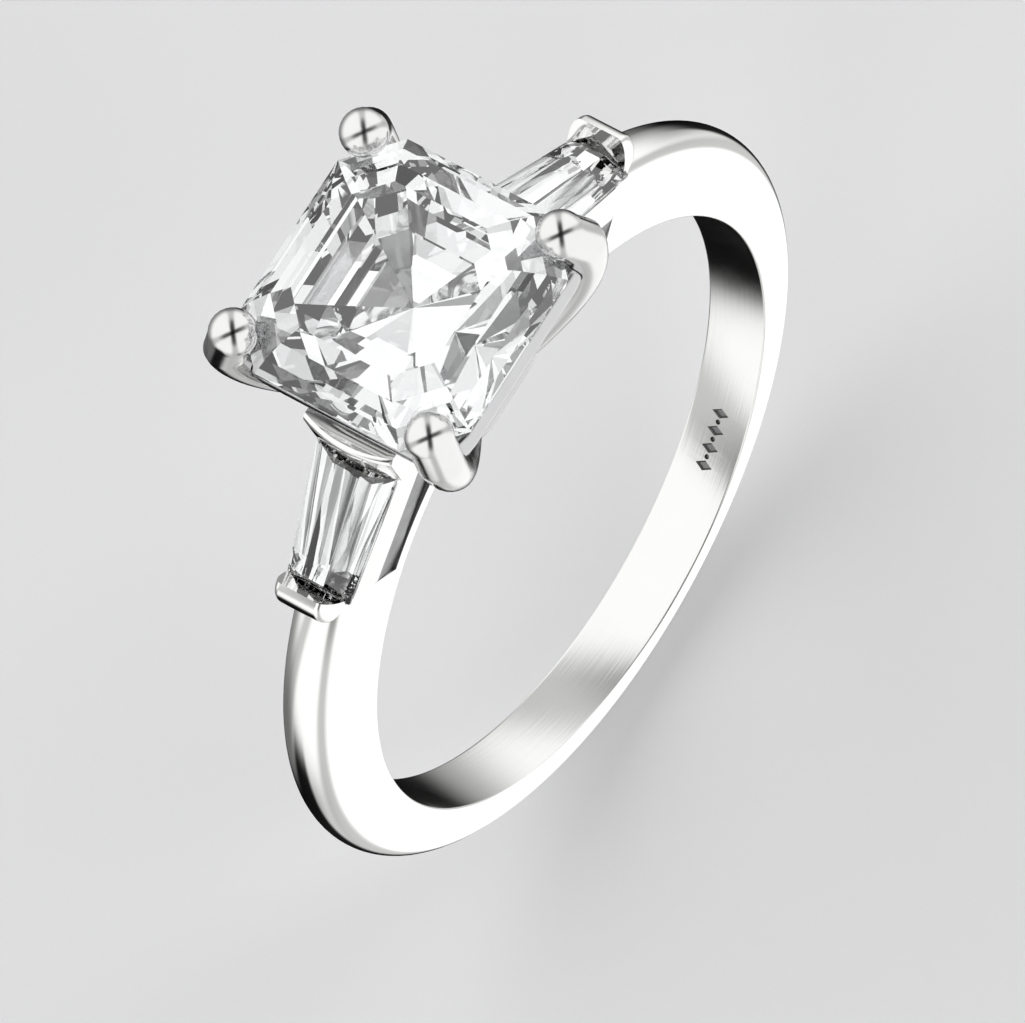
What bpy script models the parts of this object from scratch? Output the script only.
"""Three-stone engagement ring: a step-cut square stone in a four-claw basket, a tapered baguette
on each shoulder, and a half-round band. Every piece is a separate solid, as it lies on the bench
before soldering and setting.

Frame: metres, +Z from the middle of the finger hole up to the centre stone, Y along the finger.
The origin is the middle of the finger hole. Each shoulder is built on the +X side, and an empty
turns the second one half a turn about Z.
"""

import math

import bmesh
import bpy
from mathutils import Matrix, Vector

MM = 0.001

# Band
BORE_RADIUS = 8.65 * MM
BAND_WIDTH = 1.84 * MM  # at the finger hole
BAND_TAPER = 0.17 * MM  # each side face leans in by this at its outer edge
BAND_FLAT = 0.60 * MM  # height of the leaning part of a side face
BOTTOM_WALL = 0.94 * MM  # bore to the edge of the half-round, at the bottom
BAND_RISE = 0.65 * MM  # the outer circle's centre lies this far above the bore's
DOME_RISE = 0.40 * MM  # crown of the half-round above its edges
BRIDGE_WALL = 0.43 * MM  # the thin strip that carries the head and the shoulders

# Joints
SEAM = 0.04 * MM  # gap at each soldered joint
STONE_GAP = 0.03 * MM  # gap all round each stone
GIRDLE_LIFT = 0.4  # share of that gap left above and below a girdle

# Centre stone: a square step cut with cropped corners
STONE_WIDTH = 7.26 * MM
STONE_CROP = 0.367  # corner crop as a share of the half-width
GIRDLE_ABOVE_BRIDGE = 5.09 * MM
GIRDLE_THICK = 0.10 * MM
CROWN_STEPS = ((0.897, 0.42 * MM), (0.766, 0.38 * MM), (0.622, 0.26 * MM))
PAVILION_STEPS = ((0.747, 1.14 * MM), (0.448, 1.00 * MM), (0.004, 1.08 * MM))

# Basket
CLAW_RADIUS = 0.62 * MM
CLAW_FOOT_RADIUS = 0.34 * MM
CLAW_BITE = 0.10 * MM  # how deep the girdle sits in a claw
CLAW_FOOT_DROP = 0.02 * MM  # the claw ends this far below the base rail's middle
CLAW_FOOT_OUT = 0.06 * MM  # and its middle stands this far outside the rail's
BALL_OVER_CLAW = 0.03 * MM  # the ball is this much fatter than its claw
BALL_LEAN = 0.36 * MM  # the ball's centre stands inside the claw's line by this
BALL_ABOVE_GIRDLE = 0.69 * MM
RAIL_RADIUS = 0.37 * MM
RAIL_BELOW_GIRDLE = 0.82 * MM
RAIL_INSIDE_GIRDLE = 0.43 * MM
RAIL_CORNER = 0.90 * MM
BASE_RADIUS = 0.30 * MM
BASE_HALF = 1.50 * MM
BASE_CORNER = 0.60 * MM

# Side stones: step-cut tapered baguettes, sizes at the girdle
BAGUETTE_LENGTH = 3.80 * MM
BAGUETTE_INNER = 2.56 * MM
BAGUETTE_OUTER = 1.98 * MM
BAGUETTE_CROWN = 0.42 * MM
BAGUETTE_GIRDLE = 0.08 * MM
# Each outline from the table down: share of the width, inset of each end, depth, clearance up
BAGUETTE_OUTLINES = (
    (0.38, 0.20 * MM, 0.0, 1.0),
    (0.72, 0.10 * MM, 0.17 * MM, 1.0),
    (1.00, 0.0, BAGUETTE_CROWN, GIRDLE_LIFT),
    (1.00, 0.0, BAGUETTE_CROWN + BAGUETTE_GIRDLE, -GIRDLE_LIFT),
    (0.60, 0.12 * MM, 1.00 * MM, -1.0),
    (0.02, 0.28 * MM, 1.42 * MM, -1.0),
)
BAGUETTE_CLEAR = 0.30 * MM  # from the centre stone's side to the baguette's inner end
BAGUETTE_ABOVE_BRIDGE = 2.45 * MM  # height of the top at the inner end
SHOULDER_ABOVE_BORE = 2.94 * MM  # height of the top at the outer end, from the finger

# Shoulder settings and their bars
COLLET_FOOT_INNER = 1.00 * MM
COLLET_FOOT_OUTER = 1.30 * MM
GROOVE_SLOPE = math.radians(41.0)  # end wall of the shoulder's groove, from level
GROOVE_HEADROOM = 0.4  # the groove's end wall is drawn on past its top by this share
COLLET_SINK = 0.50 * MM  # the collet's block starts this far below the bridge
OUTER_BAR_THICK = 0.68 * MM
OUTER_BAR_FOOT_HALF = 0.84 * MM  # half-width at its foot
OUTER_BAR_CREST_HALF = 0.62 * MM  # half-width of its domed crest
OUTER_BAR_HEIGHT = 0.60 * MM  # above the baguette's top
OUTER_BAR_DOME = 0.10 * MM  # rise of the crest
OUTER_BAR_CHEEK = 0.05 * MM  # the cut ends start this far below the baguette's top
OUTER_BAR_FOOT = 0.59 * MM  # below the baguette's top
OUTER_BAR_ROUND = 0.34 * MM  # depth of its rounded outer corner
OUTER_BAR_FALL = 0.74 * MM  # height of the same
BAR_LAP = 0.10 * MM  # each bar covers this much of the stone's end
INNER_BAR_WIDTH = 2.80 * MM
INNER_BAR_THICK = 0.60 * MM  # at its two ends
INNER_BAR_BULGE = 0.26 * MM
INNER_BAR_TOP = 0.80 * MM  # above the baguette's top at its inner end
INNER_BAR_ROUND = 0.14 * MM

# Facets
WELD = 0.0001 * MM  # vertices closer than this are joined
FLAT_ANGLE = math.radians(0.5)  # facets turned by less than this are one
TIP_ANGLE = 0.03  # the ball closes this far from its axis, in radians
RING_STEPS = 96
DOME_STEPS = 8
SADDLE_STEPS = 22
ARC_STEPS = 10
CLAW_RINGS = 12
BALL_RINGS = 9

# Derived places
BRIDGE_RADIUS = BORE_RADIUS + BRIDGE_WALL
BAND_EDGE_RADIUS = BORE_RADIUS + BOTTOM_WALL + BAND_RISE
GIRDLE_Z = BRIDGE_RADIUS + GIRDLE_ABOVE_BRIDGE
STONE_HALF = STONE_WIDTH / 2
STONE_CORNER = STONE_HALF * (2 - STONE_CROP) / math.sqrt(2)  # centre to cropped corner
BALL_RADIUS = CLAW_RADIUS + BALL_OVER_CLAW
CLAW_SPREAD = STONE_CORNER + CLAW_RADIUS - CLAW_BITE + STONE_GAP
RAIL_HALF = STONE_HALF - RAIL_INSIDE_GIRDLE
RAIL_Z = GIRDLE_Z - RAIL_BELOW_GIRDLE
BASE_REACH = BRIDGE_RADIUS + SEAM + BASE_RADIUS
BASE_Z = math.sqrt(BASE_REACH**2 - BASE_HALF**2)
BASE_CORNER_REACH = BASE_HALF * math.sqrt(2) - BASE_CORNER * (math.sqrt(2) - 1)


def clear_scene():
    for obj in list(bpy.data.objects):
        bpy.data.objects.remove(obj, do_unlink=True)


def collection(name, shown=True):
    made = bpy.data.collections.new(name)
    bpy.context.scene.collection.children.link(made)
    made.hide_render = not shown
    return made


def material(name, color, metallic, roughness, transmission=0.0, ior=1.45):
    made = bpy.data.materials.new(name)
    made.use_nodes = True
    made.diffuse_color = (*color, 1.0)
    shader = made.node_tree.nodes["Principled BSDF"]
    shader.inputs["Base Color"].default_value = (*color, 1.0)
    shader.inputs["Metallic"].default_value = metallic
    shader.inputs["Roughness"].default_value = roughness
    shader.inputs["Transmission Weight"].default_value = transmission
    shader.inputs["IOR"].default_value = ior
    return made


def place(name, data, where, finish=None, parent=None):
    obj = bpy.data.objects.new(name, data)
    where.objects.link(obj)
    obj.parent = parent
    if finish:
        data.materials.append(finish)
    if where is cutters:
        obj.hide_render = True
        obj.display_type = "WIRE"
    return obj


def as_mesh(obj, where, finish=None):
    """The evaluated object as a welded mesh object of the same name, in place of the first."""
    bpy.context.view_layer.update()
    graph = bpy.context.evaluated_depsgraph_get()
    mesh = bpy.data.meshes.new_from_object(obj.evaluated_get(graph))
    name, world, parent = obj.name, obj.matrix_world.copy(), obj.parent
    bpy.data.objects.remove(obj, do_unlink=True)
    work = bmesh.new()
    work.from_mesh(mesh)
    bmesh.ops.remove_doubles(work, verts=work.verts, dist=WELD)
    bmesh.ops.recalc_face_normals(work, faces=work.faces)
    work.to_mesh(mesh)
    work.free()
    mesh.materials.clear()
    made = place(name, mesh, where, finish, parent)
    made.matrix_world = world
    return made


def cut(obj, cutter, operation="DIFFERENCE"):
    step = obj.modifiers.new(f"{operation.lower()} {cutter.name}", "BOOLEAN")
    step.operation = operation
    step.solver = "EXACT"
    step.object = cutter


def shade_round(obj, angle=35.0):
    obj.data.shade_smooth()
    obj.data.set_sharp_from_angle(angle=math.radians(angle))


def poly_curve(name, points, closed=False, radii=None):
    data = bpy.data.curves.new(name, "CURVE")
    data.dimensions = "3D"
    spline = data.splines.new("POLY")
    spline.points.add(len(points) - 1)
    for index, point in enumerate(points):
        spline.points[index].co = (*point, 1.0)
        spline.points[index].radius = radii[index] if radii else 1.0
    spline.use_cyclic_u = closed
    return data


def slab(name, outline, half_thickness, where, finish=None, parent=None, matrix=None):
    """A flat outline in its own XY plane, given a thickness both ways along Z."""
    data = poly_curve(name, [(x, y, 0) for x, y in outline], closed=True)
    data.dimensions = "2D"
    data.fill_mode = "BOTH"
    data.extrude = half_thickness
    obj = place(name, data, where, None, parent)
    if matrix:
        obj.matrix_local = matrix
    return as_mesh(obj, where, finish)


def tube(name, points, radius, where, finish=None, closed=False, radii=None, sides=3):
    data = poly_curve(name, points, closed, radii)
    data.bevel_depth = radius
    data.bevel_resolution = sides
    data.use_fill_caps = not closed
    return as_mesh(place(name, data, where), where, finish)


def hull(name, points, where, finish=None, parent=None):
    """The convex solid through the points, its flat facets joined."""
    mesh = bpy.data.meshes.new(name)
    work = bmesh.new()
    for point in points:
        work.verts.new(point)
    bmesh.ops.convex_hull(work, input=work.verts)
    bmesh.ops.dissolve_limit(
        work, angle_limit=FLAT_ANGLE, verts=work.verts, edges=work.edges
    )
    bmesh.ops.recalc_face_normals(work, faces=work.faces)
    work.to_mesh(mesh)
    work.free()
    return place(name, mesh, where, finish, parent)


def arc(radius, start, end, steps, centre=(0.0, 0.0)):
    """Points on a circle; angles are measured from the second axis towards the first."""
    found = []
    for index in range(steps + 1):
        angle = start + (end - start) * index / steps
        found.append(
            (centre[0] + radius * math.sin(angle), centre[1] + radius * math.cos(angle))
        )
    return found


# Side frame: u runs along the baguette, down and outwards; n stands on its top; v is Y.


def shoulder_frame():
    """Middle, direction and normal of the baguette's top, in X and Z."""
    inner = Vector((STONE_HALF + BAGUETTE_CLEAR, BRIDGE_RADIUS + BAGUETTE_ABOVE_BRIDGE))
    reach = BORE_RADIUS + SHOULDER_ABOVE_BORE
    away = inner.length
    turn = math.acos(
        (reach**2 + away**2 - BAGUETTE_LENGTH**2) / (2 * reach * away)
    )
    angle = math.atan2(inner.x, inner.y) + turn
    outer = Vector((reach * math.sin(angle), reach * math.cos(angle)))
    along = (outer - inner).normalized()
    return (inner + outer) / 2, along, Vector((-along.y, along.x))


MIDDLE, ALONG, NORMAL = shoulder_frame()
SIDE_MATRIX = Matrix(
    (
        (ALONG.x, 0, NORMAL.x, MIDDLE.x),
        (0, 1, 0, 0),
        (ALONG.y, 0, NORMAL.y, MIDDLE.y),
        (0, 0, 0, 1),
    )
)


def side_point(u, n):
    """X and Z of a point given along and above the baguette's top."""
    return MIDDLE + ALONG * u + NORMAL * n


# Outline in X and Z to a slab whose thickness runs along Y
UPRIGHT = Matrix.Rotation(math.pi / 2, 4, "X")
HALF_LENGTH = BAGUETTE_LENGTH / 2
OUTER_BAR_FACE = HALF_LENGTH - BAR_LAP
GROOVE_TOP = side_point(OUTER_BAR_FACE, -OUTER_BAR_FOOT)
COLLET_TOP = -(BAGUETTE_CROWN + STONE_GAP)


def groove_foot(radius):
    """Where the groove's end wall, drawn down from its top, meets a circle round the finger."""
    direction = Vector((-math.cos(GROOVE_SLOPE), -math.sin(GROOVE_SLOPE)))
    half_b = GROOVE_TOP.dot(direction)
    travel = -half_b - math.sqrt(half_b**2 - GROOVE_TOP.length_squared + radius**2)
    return GROOVE_TOP + direction * travel


def saddle_outline(inset):
    """The space over the bridge between the two groove ends, drawn in by an inset."""
    radius = BRIDGE_RADIUS + inset
    shift = Vector((-math.sin(GROOVE_SLOPE), math.cos(GROOVE_SLOPE))) * inset
    foot = groove_foot(BRIDGE_RADIUS) + shift
    top = GROOVE_TOP + shift + (GROOVE_TOP - groove_foot(BRIDGE_RADIUS)) * GROOVE_HEADROOM
    reach = math.atan2(foot.x, foot.y)
    roof = GIRDLE_Z + STONE_HALF
    bottom = arc(radius, -reach, reach, SADDLE_STEPS)
    return bottom + [tuple(top), (top.x, roof), (-top.x, roof), (-top.x, top.y)]


def cropped_square(half, z):
    crop = half * STONE_CROP
    near = half - crop
    corners = [(half, near), (near, half), (-near, half), (-half, near)]
    corners += [(-x, -y) for x, y in corners]
    return [(x, y, z) for x, y in corners]


def centre_stone_points(grow):
    """Outlines of each step from the girdle up and down, drawn out by a clearance."""
    half = STONE_HALF + grow
    lift = grow * GIRDLE_LIFT
    points = cropped_square(half, GIRDLE_Z + lift)
    height = GIRDLE_Z + lift
    for share, rise in CROWN_STEPS:
        height += rise
        points += cropped_square(STONE_HALF * share + grow, height)
    height = GIRDLE_Z - GIRDLE_THICK - lift
    points += cropped_square(half, height)
    for share, drop in PAVILION_STEPS:
        height -= drop
        points += cropped_square(STONE_HALF * share + grow, height)
    return points


def taper(share, inset, n, grow):
    """One outline of the baguette: its ends drawn in by an inset, its sides to a share."""
    end = HALF_LENGTH - inset + grow
    slope = (BAGUETTE_OUTER - BAGUETTE_INNER) / 2 / BAGUETTE_LENGTH
    middle = (BAGUETTE_OUTER + BAGUETTE_INNER) / 4
    found = []
    for u in (-end, end):
        half = (middle + slope * u) * share + grow
        found += [(u, -half, n), (u, half, n)]
    return found


def baguette_points(grow):
    """Outlines of the baguette from its table down to its keel, drawn out by a clearance."""
    points = []
    for share, inset, depth, lift in BAGUETTE_OUTLINES:
        points += taper(share, inset, lift * grow - depth, grow)
    return points


# Band


def make_band_cutters():
    bore = place("bore_cutter", bpy.data.meshes.new("bore_cutter"), cutters)
    work = bmesh.new()
    bmesh.ops.create_cone(
        work,
        cap_ends=True,
        segments=RING_STEPS,
        radius1=BORE_RADIUS,
        radius2=BORE_RADIUS,
        depth=BAND_WIDTH * 2,
    )
    work.to_mesh(bore.data)
    work.free()
    bore.matrix_world = UPRIGHT
    saddle = slab("saddle_cutter", saddle_outline(0), BAND_WIDTH, cutters, matrix=UPRIGHT)
    return bore, saddle


def make_bar_notch(name, parent):
    """A block over the bar's foot, which leaves the bar a flat seat on the band."""
    start = OUTER_BAR_FACE - OUTER_BAR_THICK
    end = OUTER_BAR_FACE + OUTER_BAR_THICK + SEAM
    low = -OUTER_BAR_FOOT - SEAM
    high = OUTER_BAR_HEIGHT * 2
    corners = [side_point(u, n) for u, n in ((start, low), (end, low), (end, high), (start, high))]
    outline = [tuple(corner) for corner in corners]
    return slab(name, outline, BAND_WIDTH, cutters, parent=parent, matrix=UPRIGHT)


def make_band():
    flat_half = BAND_WIDTH / 2
    half = flat_half - BAND_TAPER
    dome_radius = (half**2 + DOME_RISE**2) / (2 * DOME_RISE)
    sweep = math.asin(half / dome_radius)
    centre = BAND_EDGE_RADIUS + DOME_RISE - dome_radius
    shoulder = BAND_EDGE_RADIUS - BAND_FLAT
    profile = [(0.0, flat_half), (shoulder, flat_half)]
    for index in range(DOME_STEPS + 1):
        angle = sweep - 2 * sweep * index / DOME_STEPS
        profile.append(
            (centre + dome_radius * math.cos(angle), dome_radius * math.sin(angle))
        )
    profile += [(shoulder, -flat_half), (0.0, -flat_half)]
    mesh = bpy.data.meshes.new("shank")
    edges = [(index, index + 1) for index in range(len(profile) - 1)]
    mesh.from_pydata([(x, 0.0, z) for x, z in profile], edges, [])
    band = place("shank", mesh, parts, band_silver)
    band.rotation_euler = (math.pi / 2, 0.0, 0.0)
    band.location = (0.0, 0.0, BAND_RISE)
    turn = band.modifiers.new("turn", "SCREW")
    turn.axis = "Z"
    turn.angle = math.tau
    turn.steps = RING_STEPS
    turn.render_steps = RING_STEPS
    turn.use_merge_vertices = True
    turn.merge_threshold = WELD
    return band


# Head


def square_path(half, corner, z):
    """A closed square loop with round corners."""
    inner = half - corner
    points = []
    for quarter in range(4):
        start = quarter * math.pi / 2
        sign_x = 1 if quarter in (0, 1) else -1
        sign_y = 1 if quarter in (0, 3) else -1
        centre = (sign_x * inner, sign_y * inner)
        points += arc(corner, start, start + math.pi / 2, ARC_STEPS // 2, centre)
    return [(x, y, z) for x, y in points]


def make_rail(name, half, corner, z, radius):
    path = square_path(half, corner, z)
    rail = tube(name, path, radius, parts, rail_silver, closed=True)
    groove = tube(f"{name}_groove", path, radius + SEAM, cutters, closed=True)
    shade_round(rail)
    return rail, groove


def claw_path():
    """Middle line and radius of a claw, from its foot up through its ball, in X and Z."""
    foot_reach = BASE_CORNER_REACH + CLAW_FOOT_OUT
    foot_z = BASE_Z - CLAW_FOOT_DROP
    points, radii = [], []
    for index in range(CLAW_RINGS + 1):
        share = index / CLAW_RINGS
        reach = foot_reach + (CLAW_SPREAD - foot_reach) * math.sin(share * math.pi / 2)
        points.append((reach, 0.0, foot_z + (GIRDLE_Z - foot_z) * share))
        radii.append(CLAW_FOOT_RADIUS + (CLAW_RADIUS - CLAW_FOOT_RADIUS) * share)
    centre = Vector((CLAW_SPREAD - BALL_LEAN, 0.0, GIRDLE_Z + BALL_ABOVE_GIRDLE))
    direction = Vector((-BALL_LEAN, 0.0, BALL_ABOVE_GIRDLE)).normalized()
    start = math.pi - math.asin(CLAW_RADIUS / BALL_RADIUS)
    for index in range(BALL_RINGS + 1):
        angle = start * (1 - index / BALL_RINGS)
        radius = BALL_RADIUS * math.sin(max(angle, TIP_ANGLE))
        points.append(tuple(centre + direction * BALL_RADIUS * math.cos(angle)))
        radii.append(radius)
    return points, radii


def make_claws(seats):
    points, radii = claw_path()
    shares = [radius / CLAW_RADIUS for radius in radii]
    first = tube("claw", points, CLAW_RADIUS, parts, claw_silver, radii=shares, sides=5)
    mesh = first.data
    bpy.data.objects.remove(first)
    names = ("claw_back_right", "claw_back_left", "claw_front_left", "claw_front_right")
    for index, name in enumerate(names):
        claw = place(name, mesh, parts)
        claw.rotation_euler = (0.0, 0.0, (index + 0.5) * math.pi / 2)
        for seat in seats:
            cut(claw, seat)
    shade_round(claw)


# Shoulders


def make_collet(name, parent, seat, space):
    """The baguette's setting: a block that flares from the bridge up to the girdle."""
    inner_x = STONE_HALF + BAGUETTE_CLEAR - INNER_BAR_THICK - INNER_BAR_BULGE
    top_u = (inner_x - MIDDLE.x - NORMAL.x * COLLET_TOP) / ALONG.x
    inner_top = side_point(top_u, COLLET_TOP)
    outer_top = side_point(HALF_LENGTH, COLLET_TOP)
    # The feet are carried on below the bridge, and the space over the bridge trims them.
    sink = Vector((0.0, COLLET_SINK))
    outer_foot = groove_foot(BRIDGE_RADIUS) + ALONG * SEAM - sink
    inner_foot = inner_top.normalized() * BRIDGE_RADIUS - sink
    sections = (
        (inner_foot, COLLET_FOOT_INNER, inner_top, BAGUETTE_INNER),
        (outer_foot, COLLET_FOOT_OUTER, outer_top, BAGUETTE_OUTER),
    )
    work = bmesh.new()
    bmesh.ops.create_cube(work, size=2.0)
    for vert in work.verts:
        foot, foot_width, top, top_width = sections[vert.co.x > 0]
        spot, width = (top, top_width) if vert.co.z > 0 else (foot, foot_width)
        vert.co = (spot.x, width / 2 * math.copysign(1, vert.co.y), spot.y)
    mesh = bpy.data.meshes.new(name)
    work.to_mesh(mesh)
    work.free()
    collet = place(name, mesh, parts, collet_silver, parent)
    cut(collet, space, "INTERSECT")
    cut(collet, seat)
    return collet


def make_outer_bar(name, parent, seat):
    """A plate across the band with cut ends, rounded on the side away from the stone."""
    half = OUTER_BAR_FOOT_HALF
    radius = (OUTER_BAR_CREST_HALF**2 + OUTER_BAR_DOME**2) / (2 * OUTER_BAR_DOME)
    sweep = math.asin(OUTER_BAR_CREST_HALF / radius)
    outline = arc(radius, -sweep, sweep, ARC_STEPS, (0.0, OUTER_BAR_HEIGHT - radius))
    outline += [(half, -OUTER_BAR_CHEEK), (half, -OUTER_BAR_FOOT)]
    outline += [(-half, -OUTER_BAR_FOOT), (-half, -OUTER_BAR_CHEEK)]
    # Outline axes: first along Y, second along n; thickness along u.
    turn = Matrix(((0, 0, 1, 0), (1, 0, 0, 0), (0, 1, 0, 0), (0, 0, 0, 1)))
    shift = Matrix.Translation((OUTER_BAR_FACE + OUTER_BAR_THICK / 2, 0, 0))
    bar = slab(name, outline, OUTER_BAR_THICK / 2, parts, outer_bar_silver, parent)
    bar.data.transform(SIDE_MATRIX @ shift @ turn)
    end = OUTER_BAR_FACE + OUTER_BAR_THICK
    crest = OUTER_BAR_HEIGHT + SEAM  # clear of the bar's own top
    side = [(OUTER_BAR_FACE - SEAM, -OUTER_BAR_FOOT * 2), (end, -OUTER_BAR_FOOT * 2)]
    for index in range(ARC_STEPS + 1):
        angle = index / ARC_STEPS * math.pi / 2
        depth = OUTER_BAR_ROUND * (1 - math.cos(angle))
        side.append((end - depth, crest - OUTER_BAR_FALL * (1 - math.sin(angle))))
    side.append((OUTER_BAR_FACE - SEAM, crest))
    outline = [tuple(side_point(u, n)) for u, n in side]
    rounder = slab(f"{name}_round", outline, BAND_WIDTH, cutters, parent=parent, matrix=UPRIGHT)
    cut(bar, rounder, "INTERSECT")
    cut(bar, seat)
    shade_round(bar)
    return bar


def make_inner_bar(name, parent, seat, trim):
    """A plate between the centre stone and the baguette, flat inside and bowed outside."""
    half = INNER_BAR_WIDTH / 2
    radius = (half**2 + INNER_BAR_BULGE**2) / (2 * INNER_BAR_BULGE)
    sweep = math.asin(half / radius)
    face = STONE_HALF + BAGUETTE_CLEAR
    bow = arc(radius, math.pi / 2 + sweep, math.pi / 2 - sweep, ARC_STEPS, (face - radius, 0))
    back = face - INNER_BAR_BULGE - INNER_BAR_THICK
    outline = bow + [(back, half), (back, -half)]
    top = BRIDGE_RADIUS + BAGUETTE_ABOVE_BRIDGE + INNER_BAR_TOP
    height = INNER_BAR_TOP + BAGUETTE_CROWN * 2
    bar = slab(name, outline, height / 2, parts, inner_bar_silver, parent)
    work = bmesh.new()
    work.from_mesh(bar.data)
    rounded = []
    for edge in work.edges:
        if all(vert.co.z > 0 and vert.co.x > back + WELD for vert in edge.verts):
            rounded.append(edge)
    bmesh.ops.bevel(
        work, geom=rounded, offset=INNER_BAR_ROUND, segments=2, profile=0.5, affect="EDGES"
    )
    work.transform(Matrix.Translation((0, 0, top - height / 2)))
    bmesh.ops.recalc_face_normals(work, faces=work.faces)
    work.to_mesh(bar.data)
    work.free()
    cut(bar, trim)
    cut(bar, seat)
    shade_round(bar)
    return bar


def make_shoulder(side, turn, band, space):
    frame = place(f"shoulder_{side}", None, cutters)
    frame.rotation_euler = (0.0, 0.0, turn)
    bpy.context.view_layer.update()
    stone = hull(f"side_stone_{side}", baguette_points(0), parts, side_stone_clear, frame)
    seat = hull(f"side_seat_{side}", baguette_points(STONE_GAP), cutters, parent=frame)
    stone.data.transform(SIDE_MATRIX)
    seat.data.transform(SIDE_MATRIX)
    low, high = COLLET_TOP - BAGUETTE_LENGTH, COLLET_TOP + SEAM
    reach = BAGUETTE_LENGTH
    corners = [(-reach, low), (HALF_LENGTH, low), (HALF_LENGTH, high), (-reach, high)]
    outline = [tuple(side_point(u, n)) for u, n in corners]
    trim = slab(
        f"bar_trim_{side}", outline, BAGUETTE_LENGTH, cutters, parent=frame, matrix=UPRIGHT
    )
    make_collet(f"side_collet_{side}", frame, seat, space)
    make_outer_bar(f"outer_end_bar_{side}", frame, seat)
    make_inner_bar(f"inner_end_bar_{side}", frame, seat, trim)
    cut(band, make_bar_notch(f"bar_notch_{side}", frame))
    cut(band, seat)


clear_scene()
parts = collection("engagement_ring")
cutters = collection("cutters", shown=False)
band_silver = material("band silver", (0.93, 0.93, 0.92), 1.0, 0.08)
claw_silver = material("claw silver", (0.94, 0.94, 0.93), 1.0, 0.06)
rail_silver = material("rail silver", (0.90, 0.90, 0.90), 1.0, 0.10)
collet_silver = material("collet silver", (0.88, 0.88, 0.89), 1.0, 0.12)
outer_bar_silver = material("outer bar silver", (0.92, 0.92, 0.91), 1.0, 0.08)
inner_bar_silver = material("inner bar silver", (0.91, 0.91, 0.91), 1.0, 0.08)
centre_stone_clear = material("centre stone", (1.0, 1.0, 1.0), 0.0, 0.0, 1.0, 2.18)
side_stone_clear = material("side stone", (0.98, 0.98, 1.0), 0.0, 0.0, 1.0, 2.18)

shank = make_band()
bore_cutter, saddle_cutter = make_band_cutters()
cut(shank, bore_cutter)
cut(shank, saddle_cutter)
saddle_space = slab(
    "saddle_space", saddle_outline(SEAM), BAND_WIDTH * 2, cutters, matrix=UPRIGHT
)
make_shoulder("right", 0.0, shank, saddle_space)
make_shoulder("left", math.pi, shank, saddle_space)

hull("centre_stone", centre_stone_points(0), parts, centre_stone_clear)
stone_seat = hull("centre_seat", centre_stone_points(STONE_GAP), cutters)
gallery_rail, gallery_groove = make_rail(
    "gallery_rail", RAIL_HALF, RAIL_CORNER, RAIL_Z, RAIL_RADIUS
)
cut(gallery_rail, stone_seat)
base_rail, base_groove = make_rail(
    "base_rail", BASE_HALF, BASE_CORNER, BASE_Z, BASE_RADIUS
)
make_claws((stone_seat, gallery_groove, base_groove))
